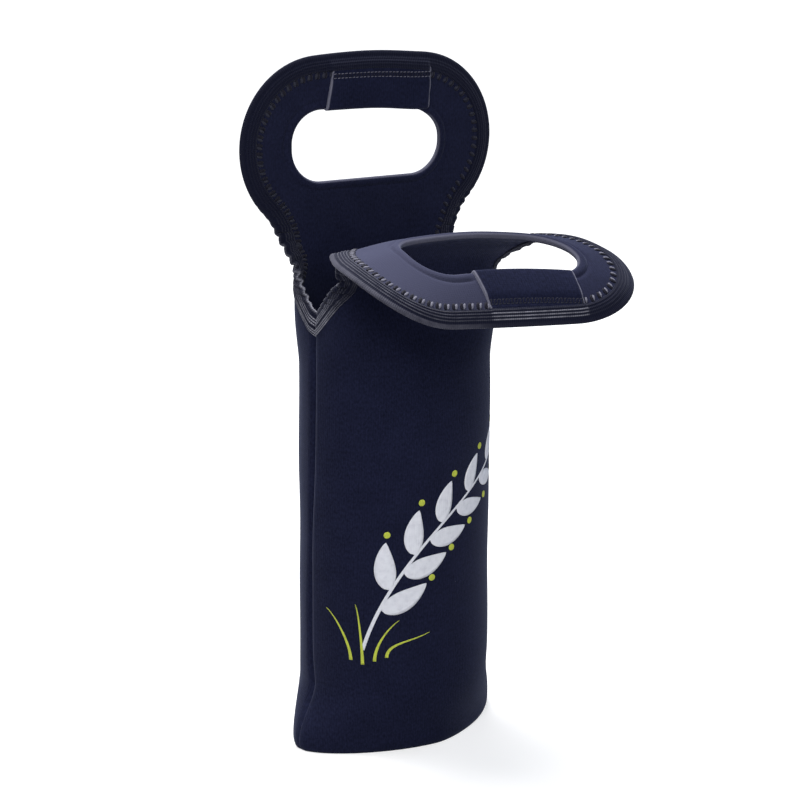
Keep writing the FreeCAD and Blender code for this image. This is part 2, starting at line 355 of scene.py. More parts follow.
def fall_curve():
    """Depth, height and heading of the middle of the fallen loop along its length."""
    width = int(fall_smoothing / fall_step)
    heading = np.interp(fall_v, fall_heights, fall_headings)
    padded = np.pad(heading, (width // 2, width - width // 2 - 1), mode="edge")
    heading = np.radians(np.convolve(padded, np.ones(width) / width, mode="valid"))
    middle = (heading[:-1] + heading[1:]) / 2
    depth = np.concatenate([[0], np.cumsum(np.cos(middle) * fall_step)])
    height = fall_v[0] + np.concatenate([[0], np.cumsum(np.sin(middle) * fall_step)])
    return hinges["front_handle_fold"][1] - depth, height, heading


fall_y, fall_z, fall_heading = fall_curve()


def fallen(x, v):
    """Middle of the cloth on the front loop."""
    y, z, heading = (np.interp(v, fall_v, table) for table in (fall_y, fall_z, fall_heading))
    turned, bent = ease(v, *turn_rise), ease(v, *bend_rise)
    curl = ease(-x, *curl_across) * bent * (1 - curl_fade_share * ease(v, *curl_fade))
    ridge = ease(-x, *ridge_across) * (1 - ease(-x, *ridge_end)) * bent * (1 - ease(v, *ridge_fade))
    tip = ease(x, *tip_across) * ease(v, *tip_rise) * (1 - ease(v, *tip_fade))
    lift = tip_lift * tip - curl_drop * curl - ridge_drop * ridge
    lift = lift - fall_droop * (x / droop_reach) ** 2 * ease(v, *droop_rise)
    y = y - x * np.sin(fall_turn * turned) - np.sin(heading) * lift
    z = z - x * np.sin(fall_roll * turned) + np.cos(heading) * lift
    drawn = curl_in * curl - tip_in * ease(x, *draw_across) * ease(v, *draw_rise)
    return np.stack([x * np.cos(fall_turn * turned) + drawn, y, z], 1)


def standing(x, v):
    """Middle of the cloth on the back loop."""
    beside = np.exp(-(((x - sag_middle) / sag_reach) ** 2))
    sag = grip_sag * beside * ease(v, *sag_rise) * (1 - sag_fade_share * ease(v, *sag_fade))
    depth = np.full_like(x, hinges["back_handle_fold"][1])
    return np.stack([x + stand_shift * ease(v, *stand_rise), depth, v - sag], 1)


def calm(side, x, v):
    """Middle of the cloth before its edge is ruffled."""
    body = on_body(side, x, v)
    loop = fallen(x, v) if side < 0 else standing(x, v)
    return body + (loop - body) * ease(v, *loop_rise)[:, None]


def unit(vectors):
    """The same directions at length one."""
    return vectors / np.maximum(np.linalg.norm(vectors, axis=-1, keepdims=True), 1e-9)


def facing(shape, side, x, v):
    """Outward normal of a laid shape, from two short steps on it."""
    across = shape(side, x + normal_step, v) - shape(side, x - normal_step, v)
    along = shape(side, x, v + normal_step) - shape(side, x, v - normal_step)
    return unit(np.cross(across, along) * -side)


print("front loop falls to", round(np.interp(fall_heights[-1], fall_v, fall_z)), "mm above the floor")

# %% [markdown]
# One line follows the whole free edge of a panel: up the slope of the mouth notch, through the narrow neck,
# round the loop and down the other side. It is made of the arcs of the cut. At the neck the edge is
# stretched by its stitches, so it ruffles like a lettuce leaf: a wave that is strongest at the very edge.

# %% The free edge of a panel
loop_half_width, corner_radius, corner_height = 74.0, 45.0, neck_line + 56
neck_half_width, neck_bend = 51.5, neck_line + 1
crown_height = neck_line + 102
edge_step = 0.8
arc_steps, crown_steps = 60, 12
ruffle_wave, ruffle_size, ruffle_depth = 5.0, 1.0, 4.0
ruffle_rise, ruffle_fade = (notch_foot + 3, notch_foot + 12), (258, 284)
ruffle_uneven, uneven_pace = 0.35, 0.31
second_wave, second_lag = 0.3, 0.6
edge_press, edge_press_reach = 0.48, (0.3, 5)


def arc(centre, radius, start, end, count):
    """Points of an arc between two points that lie on it."""
    first, last = (np.arctan2(point[1] - centre[1], point[0] - centre[0]) for point in (start, end))
    turn = np.linspace(first, last, count)
    return np.stack([centre[0] + radius * np.cos(turn), centre[1] + radius * np.sin(turn)], 1)


def notch_edge(heights):
    """Half width of a panel along the sloping edge of the mouth."""
    widths = []
    for height in heights:
        row = int(round(height))
        gap = (height - notch_foot) / (neck_top - notch_foot) * half_gap
        share = np.interp(-gap, -section_y[row], section_shares)
        widths.append(share * section_length[row])
    return np.array(widths)


def toward(first, second, reach):
    """Point at a reach from one place towards another."""
    gap = np.hypot(second[0] - first[0], second[1] - first[1])
    return [a + (b - a) * reach / gap for a, b in zip(first, second)]


def right_edge():
    """Right half of the free edge, from the foot of the mouth notch to the middle of the crown."""
    heights = np.arange(notch_foot, neck_top, 1.0)
    slope = np.stack([notch_edge(heights), heights], 1)
    corner = (loop_half_width - corner_radius, corner_height)
    across, down = neck_half_width - corner[0], neck_bend - corner[1]
    neck_radius = (across**2 + down**2 - corner_radius**2) / (2 * (corner_radius - across))
    neck = (neck_half_width + neck_radius, neck_bend)
    meet = toward(corner, neck, corner_radius)
    drop = corner_height - crown_height
    crown_radius = (corner_radius**2 - corner[0] ** 2 - drop**2) / (2 * (drop + corner_radius))
    crown = (0, crown_height - crown_radius)
    top = toward(crown, corner, crown_radius)
    neck_arc = arc(neck, neck_radius, (neck_half_width, neck_bend), meet, arc_steps)
    corner_arc = arc(corner, corner_radius, meet, top, arc_steps)
    crown_arc = arc(crown, crown_radius, top, (0, crown_height), crown_steps)
    return np.concatenate([slope, neck_arc, corner_arc, crown_arc])


def even_steps(points, step, smooth):
    """The same line with its points at even steps and its corners eased."""
    walked = walk(points)
    even = np.linspace(0, walked[-1], int(walked[-1] / step) + 1)
    line = np.stack([np.interp(even, walked, points[:, i]) for i in (0, 1)], 1)
    for _ in range(smooth):
        line[1:-1] = line[1:-1] / 2 + (line[:-2] + line[2:]) / 4
    return line


right = even_steps(right_edge(), edge_step, smooth=5)
on_loop = right[:, 1] > neck_bend + 20
rising = right[: np.argmax(right[:, 0] * on_loop) + 1]
rising_walk = walk(rising)


def half_span(v):
    """Half width of the flat panel at a height, up to the widest part of the loop."""
    return np.where(v < notch_foot, quarter(v), np.interp(v, rising[:, 1], rising[:, 0]))


def ruffle(x, v):
    """How far the stretched edge waves out of the cloth."""
    inset = np.maximum(half_span(v) - np.abs(x), 0)
    walked = np.interp(v, rising[:, 1], rising_walk)
    strength = ease(v, *ruffle_rise) * (1 - ease(v, *ruffle_fade))
    uneven = 1 + ruffle_uneven * np.sin(walked * uneven_pace + np.sign(x))
    phase = 2 * np.pi * walked / ruffle_wave
    wave = np.sin(phase) + second_wave * np.sin(2 * phase + second_lag)
    return ruffle_size * strength * uneven * np.exp(-inset / ruffle_depth) * wave


def lay(side, x, v):
    """Middle of the cloth at a point of the flat pattern."""
    x, v = np.asarray(x, float), np.asarray(v, float)
    return calm(side, x, v) + facing(calm, side, x, v) * ruffle(x, v)[:, None]


def lay_at(side, x, v, height):
    """Point at a height above the middle of the cloth, outwards being positive."""
    return lay(side, x, v) + facing(lay, side, x, v) * np.asarray(height, float).reshape(-1, 1)


edge_line = np.concatenate([right * np.array([-1, 1]), right[::-1][1:]])
edge_tree = KDTree(len(edge_line))
for number, (edge_x, edge_v) in enumerate(edge_line):
    edge_tree.insert((edge_x, edge_v, 0), number)
edge_tree.balance()


def edge_slim(x, v):
    """How thin the cloth is, as a share, where the stitches of the tape press its edge."""
    inset = np.array([edge_tree.find((place_x, place_v, 0))[2] for place_x, place_v in zip(x, v)])
    return 1 - edge_press * (1 - ease(inset, *edge_press_reach))


print("free edge of a panel", round(len(edge_line) * edge_step), "mm")

# %% [markdown]
# Fabric first needs its small effects. Knit shows upright ribs called wales, with tiny rows of loops across
# them. A node group turns the place on the flat cloth into a height for bump and a tone, so that every knit
# piece can share it. A second group scatters lint.

# %% Shader groups shared by the fabrics
# How far a wale pulls the loops along, and how high they stand beside it
loop_lean, loop_height = 0.35, 0.25
streak = (1, 0.6, 1)
# Scale, gain and offset of the fine and the broad changes of tone
fine_scale, fine_gain, fine_offset = 1000.0, 1.6, -0.4
broad_scale, broad_gain, broad_offset = 60.0, 0.6, -0.3
wale_tone = 0.15


def new_group(name, inputs, outputs):
    """Shader group with its inputs, where None stands for a place, and its number outputs."""
    group = bpy.data.node_groups.new(name, "ShaderNodeTree")
    for label, value in inputs.items():
        kind = "NodeSocketVector" if value is None else "NodeSocketFloat"
        socket = group.interface.new_socket(label, in_out="INPUT", socket_type=kind)
        if value is not None:
            socket.default_value = value
    for label in outputs:
        group.interface.new_socket(label, in_out="OUTPUT", socket_type="NodeSocketFloat")
    return group, add_node(group, "NodeGroupInput").outputs, add_node(group, "NodeGroupOutput")


def noise_node(tree, place, scale, detail=3.0):
    """Soft noise in metres."""
    inputs = {"Vector": place, "Scale": scale, "Detail": detail}
    return add_node(tree, "ShaderNodeTexNoise", inputs).outputs["Fac"]


def knit_group():
    """Wales and courses of a jersey knit from the place on the flat cloth."""
    inputs = {"Cut": None, "Wale": 0.001, "Course": 0.0008}
    group, given, end = new_group("knit", inputs, ("Height", "Tone"))
    split = add_node(group, "ShaderNodeSeparateXYZ", {0: given["Cut"]}).outputs
    wale = math_node(group, "DIVIDE", split["X"], given["Wale"])
    wale = math_node(group, "SINE", math_node(group, "MULTIPLY", wale, np.pi))
    wale = math_node(group, "ABSOLUTE", wale)
    rows = math_node(group, "DIVIDE", split["Y"], given["Course"])
    rows = math_node(group, "ADD", rows, math_node(group, "MULTIPLY", wale, loop_lean))
    loops = math_node(group, "SINE", math_node(group, "MULTIPLY", rows, 2 * np.pi))
    height = math_node(group, "ADD", wale, math_node(group, "MULTIPLY", loops, loop_height))
    streaked = add_node(group, "ShaderNodeVectorMath", {0: given["Cut"], 1: streak}, operation="MULTIPLY")
    fine = noise_node(group, streaked.outputs[0], fine_scale, 2.0)
    fine = math_node(group, "MULTIPLY_ADD", fine, fine_gain, fine_offset)
    broad = noise_node(group, given["Cut"], broad_scale)
    broad = math_node(group, "MULTIPLY_ADD", broad, broad_gain, broad_offset)
    tone = math_node(group, "ADD", fine, broad)
    tone = math_node(group, "MULTIPLY_ADD", wale, wale_tone, tone, clamp=True)
    set_inputs(group, end, {"Height": height, "Tone": tone})
    return group


def lint_group():
    """Sparse pale specks of lint."""
    inputs = {"Place": None, "Spacing": 0.008, "Size": 0.00022, "Share": 0.2}
    group, given, end = new_group("lint", inputs, ("Mask",))
    scale = math_node(group, "DIVIDE", 1.0, given["Spacing"])
    cells = add_node(group, "ShaderNodeTexVoronoi", {"Vector": given["Place"], "Scale": scale}).outputs
    reach = math_node(group, "DIVIDE", given["Size"], given["Spacing"])
    near = math_node(group, "LESS_THAN", cells["Distance"], reach)
    draw = add_node(group, "ShaderNodeSeparateColor", {0: cells["Color"]}).outputs[0]
    kept = math_node(group, "LESS_THAN", draw, given["Share"])
    set_inputs(group, end, {"Mask": math_node(group, "MULTIPLY", near, kept)})
    return group


knit = knit_group()
lint = lint_group()
print("shader groups", knit.name, lint.name)

# %% [markdown]
# Each finish is one material. Their colours are dark navy greys, because black cloth is never black in the
# light. A little sheen gives knit its pale bloom at glancing angles. Attributes of a piece say where its
# foam is cut raw, where its paler lining shows with painted light in it, and where the crests and the rim
# of its tape are pale, from thread and wear and, on the loops, from painted light.

# %% Materials
navy = (0.0036, 0.0045, 0.0135)
navy_lit = (0.0112, 0.0133, 0.036)
lining_grey = (0.046, 0.048, 0.082)
pale_foam = (0.13, 0.13, 0.17)
rim_grey = (0.06, 0.06, 0.08)
thread_grey = (0.12, 0.12, 0.15)
tape_grey = (0.3, 0.3, 0.35)
dull = 0.05
knit_sizes = {"Wale": 0.0012, "Course": 0.001}
lint_strength = 0.6
sheen_blue, sheen_pale = (0.55, 0.62, 0.95, 1), (0.7, 0.72, 0.9, 1)
twist_pitch, twist_tone = 0.0011, 0.18
tape_patch, patch_tone, rim_least = 220.0, 1.3, 0.25
# Depth in metres and strength of each bump
knit_bump, tape_bump, thread_bump = (0.0001, 0.5), (0.00012, 0.5), (0.0002, 0.6)


def dull_material(name, roughness):
    """Material of cloth, thread or ink, with next to no shine."""
    return new_material(name, {"Roughness": roughness, "Specular IOR Level": dull})


def blend_colours(tree, share, first, second):
    """Mix of two colours; each is three numbers or a socket."""
    first, second = ((*value, 1) if isinstance(value, tuple) else value for value in (first, second))
    inputs = {"Factor": share, 6: first, 7: second}
    return add_node(tree, "ShaderNodeMix", inputs, data_type="RGBA").outputs[2]


def attribute(tree, name, output="Fac"):
    """A piece's own attribute."""
    return add_node(tree, "ShaderNodeAttribute", attribute_name=name).outputs[output]


def add_bump(tree, shader, height, distance, strength):
    """Bump from a height."""
    bump = add_node(tree, "ShaderNodeBump", {"Height": height, "Distance": distance, "Strength": strength})
    set_inputs(tree, shader, {"Normal": bump.outputs[0]})


def knit_material(name, dark, light, sheen):
    """Foam-backed jersey; the attribute inner marks its lining, with painted light in it, and raw its cut
    edge.
    """
    material, tree, shader = dull_material(name, 0.85)
    cut = attribute(tree, "cut", "Vector")
    loops = add_node(tree, "ShaderNodeGroup", {"Cut": cut, **knit_sizes}, node_tree=knit).outputs
    specks = add_node(tree, "ShaderNodeGroup", {"Place": cut}, node_tree=lint).outputs[0]
    colour = blend_colours(tree, loops["Tone"], dark, light)
    # inner blends towards the paler lining, with painted light in it
    colour = blend_colours(tree, attribute(tree, "inner"), colour, lining_grey)
    colour = blend_colours(tree, attribute(tree, "raw"), colour, pale_foam)
    colour = blend_colours(tree, math_node(tree, "MULTIPLY", specks, lint_strength), colour, thread_grey)
    looks = {"Base Color": colour, "Sheen Weight": sheen, "Sheen Roughness": 0.45, "Sheen Tint": sheen_blue}
    set_inputs(tree, shader, looks)
    add_bump(tree, shader, loops["Height"], *knit_bump)
    return material


def tape_material():
    """Edge tape: dark between its ribs, paler on their crests and on the rim."""
    material, tree, shader = dull_material("edge_tape", 0.7)
    twist = math_node(tree, "MULTIPLY", attribute(tree, "along"), 2 * np.pi / twist_pitch)
    twist = math_node(tree, "SINE", twist)
    patchy = noise_node(tree, attribute(tree, "cut", "Vector"), tape_patch)
    wear = math_node(tree, "MULTIPLY", patchy, patch_tone)
    wear = math_node(tree, "MULTIPLY_ADD", twist, twist_tone, wear, clamp=True)
    # On the loops the crest and rim attributes hold painted light besides the thread's pale colour
    crest = math_node(tree, "MULTIPLY", attribute(tree, "crest"), wear, clamp=True)
    rim = math_node(tree, "ADD", patchy, rim_least)
    rim = math_node(tree, "MULTIPLY", attribute(tree, "rim"), rim, clamp=True)
    colour = blend_colours(tree, rim, blend_colours(tree, crest, navy, tape_grey), rim_grey)
    set_inputs(tree, shader, {"Base Color": colour, "Sheen Weight": 0.1, "Sheen Tint": sheen_pale})
    add_bump(tree, shader, twist, *tape_bump)
    return material


def thread_material(name, dark, light, roughness):
    """Twisted thread with a slight shine."""
    material, tree, shader = dull_material(name, roughness)
    fuzz = noise_node(tree, add_node(tree, "ShaderNodeTexCoord").outputs["Object"], 1500.0)
    set_inputs(tree, shader, {"Base Color": blend_colours(tree, fuzz, dark, light), "Sheen Weight": 0.05})
    add_bump(tree, shader, fuzz, *thread_bump)
    return material


def ink_material(name, colour, worn):
    """Screen-printed ink that lets a little of the knit show through."""
    material, tree, shader = dull_material(name, 0.55)
    cut = attribute(tree, "cut", "Vector")
    loops = add_node(tree, "ShaderNodeGroup", {"Cut": cut, **knit_sizes}, node_tree=knit).outputs
    thin = math_node(tree, "POWER", noise_node(tree, cut, 350.0, 4.0), 3.0)
    thin = math_node(tree, "MULTIPLY", thin, 1.1, clamp=True)
    set_inputs(tree, shader, {"Base Color": blend_colours(tree, thin, colour, worn)})
    add_bump(tree, shader, loops["Height"], *knit_bump)
    return material


panel_cloth = knit_material("panel_cloth", navy, navy_lit, 0.08)
grip_cloth = knit_material("grip_cloth", navy, navy_lit, 0.1)
seam_cloth = knit_material("seam_cloth", (0.011, 0.012, 0.022), (0.022, 0.023, 0.04), 0.1)
edge_tape = tape_material()
pale_thread = thread_material("pale_thread", (0.09, 0.09, 0.12), (0.2, 0.2, 0.25), 0.5)
grey_thread = thread_material("grey_thread", (0.012, 0.013, 0.022), (0.034, 0.036, 0.052), 0.5)
dark_thread = thread_material("dark_thread", (0.004, 0.004, 0.008), (0.014, 0.014, 0.024), 0.45)
white_ink = ink_material("white_ink", (0.72, 0.73, 0.78), (0.4, 0.41, 0.48))
lime_ink = ink_material("lime_ink", (0.5, 0.56, 0.07), (0.2, 0.23, 0.06))
print("materials", ", ".join(material.name for material in bpy.data.materials))

# %% [markdown]
# A mesh helper makes an object from points in millimetres and keeps the places on the flat cloth as an
# attribute, which the knit reads. Closed shapes get their faces turned outwards. Most pieces are rows of
# points, so three more helpers number the faces of a strip, of a grid and of a capped tube.

# %% Mesh helpers


def make_piece(name, points, faces, material, cut, **numbers):
    """Closed, smooth mesh object with attributes on its points."""
    mesh = bpy.data.meshes.new(name)
    mesh.from_pydata((np.asarray(points) * MM).tolist(), [], faces)
    flat = np.zeros((len(points), 3))
    flat[:, :2] = np.asarray(cut) * MM
    mesh.attributes.new("cut", "FLOAT_VECTOR", "POINT").data.foreach_set("vector", flat.ravel())
    for label, values in numbers.items():
        layer = mesh.attributes.new(label, "FLOAT", "POINT")
        layer.data.foreach_set("value", np.asarray(values, float))
    mesh.materials.append(material)
    shape = bmesh.new()
    shape.from_mesh(mesh)
    bmesh.ops.recalc_face_normals(shape, faces=shape.faces)
    shape.to_mesh(mesh)
    shape.free()
    mesh.polygons.foreach_set("use_smooth", np.ones(len(mesh.polygons), bool))
    mesh.update()
    print(name, len(mesh.polygons), "faces")
    return place_in_scene(name, mesh)


def strip_faces(first, second, closed=False):
    """Quads between two rows of point numbers."""
    first, second = list(first), list(second)
    if closed:
        first, second = first + first[:1], second + second[:1]
    return [(first[i], first[i + 1], second[i + 1], second[i]) for i in range(len(first) - 1)]


def grid_faces(rows, closed=False):
    """Quads between every row of point numbers and the next."""
    return [face for low, high in zip(rows[:-1], rows[1:]) for face in strip_faces(low, high, closed)]


def tube_faces(rings):
    """Quads round a row of rings, with a cap on each end."""
    return grid_faces(rings, closed=True) + [tuple(rings[0]), tuple(rings[-1][::-1])]


print("a grid of 3 rows of 2 points has", len(grid_faces(np.arange(6).reshape(3, 2))), "faces")

# %% [markdown]
# A panel is one cut of cloth. A grid of rows covers the body up to the neck, its sides following the side
# seams and the notch. A ring of rows then runs from the hand hole out to the free edge of the loop, and
# shares its lowest stretch with the top row of the grid. Both faces are laid at half the cloth's thickness
# from the middle. Round the hand hole the foam is pressed down a few millimetres from the edge, which
# leaves a puffy lip. The lining is paler than the outer face, and light is painted into it: the fallen
# loop's lining is painted lighter, most towards its left where the light falls, and the standing loop's,
# in shade, hardly at all.

# %% The two panels
sides = {"front": -1, "back": 1}
hole_half_width, hole_height, hole_corner = 43.8, 36.5, 17.0
hole_middle = neck_line + 38 + hole_height / 2
hole_shift = {-1: 4.0, 1: -1.5}
grip = {-1: (-15.0, 37.0), 1: (-26.0, 35.0)}
# Columns of the grid, crowded towards the side seams
columns, column_crowd = 96, 0.6
column_share = np.linspace(-1, 1, columns + 1)
column_share = column_share + column_crowd * np.sin(np.pi * column_share) / np.pi
foot_rows, wall_rows = np.linspace(0, 6, 6), np.linspace(6, 214, 84)
neck_rows = np.linspace(214, neck_bend, 39)
rows_low = np.concatenate([foot_rows, wall_rows[1:], neck_rows[1:]])
lip_steps = (0, 0.2, 0.5, 0.9, 1.4, 2.0, 2.7, 3.4, 4.0, 4.4, 4.8, 5.3, 6.0, 7.0)
ring_steps = 18
# Size, place and reach of the lip's swell and of the crease behind it
lip_swell, swell_place, swell_reach = 0.45, 2.2, 1.5
lip_crease, crease_place, crease_reach = 0.75, 4.6, 0.75
lip_round, lip_raw, raw_reach = 1.5, 0.5, (0.3, 1.0)
lip_foot = neck_bend + 8
# The lip fades out under the grip tongue, over these distances at its ends and up the hole
grip_out, grip_in, grip_rise = 3, 1, 10
# Length up the wall, length across it, lag between the panels and size of each slow wave
wall_waves = ((21, 34, 1, 0.28), (9.5, -17, 2, 0.12))
wall_start, wall_end = (10, 40), (205, 225)
lining_share, lining_rise = 0.85, (neck_line, neck_line + 30)
# Painted light on each loop's lining and tape: most on the fallen loop's left, little on the standing loop,
# in shade
painted_light_fade, painted_light_across, painted_light_standing = 0.85, (-50, 50), 0.05


def hole_point(side, points):
    """Nearest point of the rounded hand hole."""
    core = np.array([hole_half_width - hole_corner, hole_height / 2 - hole_corner])
    centre = np.array([hole_shift[side], hole_middle])
    kept = np.clip(points - centre, -core, core)
    return kept + unit(points - centre - kept) * hole_corner + centre


def loop_ring(side, outer):
    """Flat points of the ring from the hand hole to its outer points, one row per step."""
    inner = hole_point(side, outer)
    span = np.linalg.norm(outer - inner, axis=1)
    start = lip_steps[-1] / span
    shares = [step / span for step in lip_steps]
    shares += [start + (1 - start) * step / ring_steps for step in range(1, ring_steps + 1)]
    return [inner + (outer - inner) * share[:, None] for share in shares]


def flat_panel(side):
    """Flat points and faces of a panel, with the point numbers of its rim and of its hand hole."""
    grid = [np.stack([column_share * half_span(v), np.full(columns + 1, v)], 1) for v in rows_low]
    points = list(np.concatenate(grid))
    numbers = np.arange(len(points)).reshape(len(rows_low), columns + 1)
    over = edge_line[edge_line[:, 1] > neck_bend + 0.6][::2]
    outer = np.concatenate([grid[-1][:1], over, grid[-1][::-1][:-1]])
    rings = []
    for row in loop_ring(side, outer)[:-1]:
        rings.append(np.arange(len(points), len(points) + len(row)))
        points += list(row)
    top = np.arange(len(points), len(points) + len(over))
    points += list(over)
    rings.append(np.concatenate([numbers[-1][:1], top, numbers[-1][::-1][:-1]]))
    faces = grid_faces(numbers) + grid_faces(rings, closed=True)
    rim = [*numbers[0], *numbers[1:, -1], *top[::-1], *numbers[::-1, 0][:-1]]
    return np.array(points), faces, rim, rings[0]


def lip_shape(side, x, v):
    """How much thicker the cloth is at the lip of the hand hole, how round its edge is, and how raw."""
    flat = np.stack([x, v], 1)
    inside = np.linalg.norm(flat - hole_point(side, flat), axis=1)
    start, end = grip[side]
    on_grip = ease(x, start - grip_out, start + grip_in) * (1 - ease(x, end - grip_in, end + grip_out))
    free = 1 - on_grip * ease(v, hole_middle, hole_middle + grip_rise)
    swell = lip_swell * np.exp(-(((inside - swell_place) / swell_reach) ** 2))
    crease = lip_crease * np.exp(-(((inside - crease_place) / crease_reach) ** 2))
    on_loop = v > lip_foot
    rounding = np.sqrt(1 - np.clip(1 - inside / lip_round, 0, 0.95) ** 2)
    raw = lip_raw * np.where(on_loop, 1 - ease(inside, *raw_reach), 0)
    return (swell - crease) * on_loop * free, np.where(on_loop, rounding, 1), raw * free


def wall_sag(side, x, v):
    """Slow, small waves of a filled cloth wall."""
    wave = sum(np.sin(v / up + x / across + lag * side) * size for up, across, lag, size in wall_waves)
    return wave * ease(v, *wall_start) * (1 - ease(v, *wall_end))


def painted_light_on_loop(side, x):
    """How much painted light a loop's lining and tape get: most on the fallen loop's left, little on the
    standing loop.
    """
    return 1 - painted_light_fade * ease(x, *painted_light_across) if side < 0 else np.full_like(x, painted_light_standing)


def make_panel(name, side):
    """Closed cloth of one panel with its loop, and the area of its flat cut."""
    flat, faces, rim, hole = flat_panel(side)
    x, v = flat[:, 0], flat[:, 1]
    puff, rounding, raw = lip_shape(side, x, v)
    sag = wall_sag(side, x, v)[:, None]
    middle, normal = lay(side, x, v), facing(lay, side, x, v)
    half = ((cloth / 2 + puff) * rounding * edge_slim(x, v))[:, None]
    points = np.concatenate([middle + normal * (half + sag), middle - normal * (half - sag)])
    points[:, 2] = np.maximum(points[:, 2], 0)
    count = len(flat)
    closed = faces + [tuple(i + count for i in face[::-1]) for face in faces]
    for line in (rim, hole):
        closed += strip_faces(line, [i + count for i in line], closed=True)
    # The lining's paleness holds painted light: most on the fallen loop's left, little on the standing loop
    lining = lining_share * painted_light_on_loop(side, x) * ease(v, *lining_rise)
    both, raw, inner = np.tile(flat, (2, 1)), np.tile(raw, 2), np.concatenate([v * 0, lining])
    piece = make_piece(name, points, closed, panel_cloth, both, raw=raw, inner=inner)
    corners = flat[np.array(faces)]
    first, second = corners[:, 2] - corners[:, 0], corners[:, 3] - corners[:, 1]
    area = np.abs(first[:, 0] * second[:, 1] - first[:, 1] * second[:, 0]).sum() / 2
    return piece, area


# Both cuts have one area, since only the place of the hand hole differs
panels = {}
for name, side in sides.items():
    panels[name], panel_area = make_panel(name + "_panel_cloth", side)
print("flat area of a panel", round(panel_area), "square mm")

# %% [markdown]
# The free edge is bound with a ribbed tape. Its cross section is drawn once, in inset from the edge and
# height above the cloth: a round rim, fine ribs, and a flat foot. Sweeping that section along the free
# edge, and laying every point on the cloth, makes a tape that bends and ruffles with it. At the side seams
# the section is cut off along the seam, so that the front and back tapes meet in a mitre. Wear picks out
# the ribs and the rim along the notch. On the loops the pale crests and rim also carry painted light:
# strongest on the fallen loop's left, where the light falls, with a painted highlight on the ribs over
# the fallen grip, and next to none on the standing loop, in shade.

# %% Edge tape
tape_base, tape_lift, tape_grain = 0.45, 0.02, 0.24
rib_height, rib_half, rib_sharpness = 0.3, 0.36, 4
rim_reach, rim_inset, rim_swell, rim_steps = 1.1, 1.3, 0.35, 13
# Face of the cloth, places of the ribs and width of the tape on it
tape_faces = ((-1, (2.6, 4.0, 5.4, 6.8), 7.9), (1, (2.0, 3.0, 4.0, 5.8, 6.7, 7.6), 8.0))
tape_foot = 0.5
# Inset and height of the hidden root inside the cloth
tape_root = ((7.4, 0.9), (2.0, 0.9), (2.0, -0.9), (7.0, -0.9))
tongue_step, step_reach, step_ease = 1.0, (1, 6), 1.5
mitre_reach, mitre_step = 15.0, 0.7
# How pale the crests and the rim are, and where those tones come and go; on the loops they hold painted
# light, and crown_shine is a painted highlight on the ribs over the fallen grip
notch_crest, notch_fade, notch_fade_share = 1.3, (220, 240), 0.88
loop_crest, loop_tone = 0.37, (250, 280)
crown_shine, shine_end = 3.0, (5.6, 6.4)
rim_fade, rim_fade_share = (-32, -8), 0.8
notch_rim, rim_sharpness, line_fade, line_fade_share = 1.3, 6, (226, 250), 0.8


def tape_section():
    """Rows of inset, height over the cloth's middle, crest and rim, from the inner to the outer foot."""
    rows = []
    for face, ribs, width in tape_faces:
        inset = np.arange(rim_inset, width + 0.01, tape_grain)
        crest = sum(np.exp(-(((inset - rib) / rib_half) ** 2)) for rib in ribs)
        ends = 1 - ease(inset, width - tape_foot, width)
        height = (cloth / 2 + (tape_base + rib_height * crest) * ends + tape_lift) * face
        part = np.stack([inset, height, np.clip(crest, 0, 1) ** rib_sharpness, np.zeros_like(inset)], 1)
        rows.append(part[::face])
    turn = np.linspace(-np.pi / 2, np.pi / 2, rim_steps)[1:-1]
    inset = rim_inset - (rim_inset + rim_reach) * np.cos(turn)
    height = (cloth / 2 + tape_base + rim_swell) * np.sin(turn)
    bead = np.stack([inset, height, turn * 0, np.cos(turn)], 1)
    return np.concatenate([rows[0], bead, rows[1], np.pad(tape_root, ((0, 0), (0, 2)))])


def mitred_edge():
    """Free edge run on past both feet of the notch, with its inward direction."""
    past = np.arange(mitre_reach, 0, -mitre_step)[:, None]
    start = edge_line[0] + unit(edge_line[0] - edge_line[3]) * past
    line = np.concatenate([start, edge_line, start[::-1] * np.array([-1, 1])])
    tangent = unit(np.gradient(line, axis=0))
    return line, np.stack([tangent[:, 1], -tangent[:, 0]], 1)


def on_seam(flat):
    """Keep flat points on the panel, at the side seam where they would pass it."""
    limit = quarter(flat[:, 1])
    beyond = (np.abs(flat[:, 0]) > limit) & (flat[:, 1] < notch_foot + 0.5)
    flat = flat.copy()
    flat[beyond, 0] = np.sign(flat[beyond, 0]) * limit[beyond]
    return flat


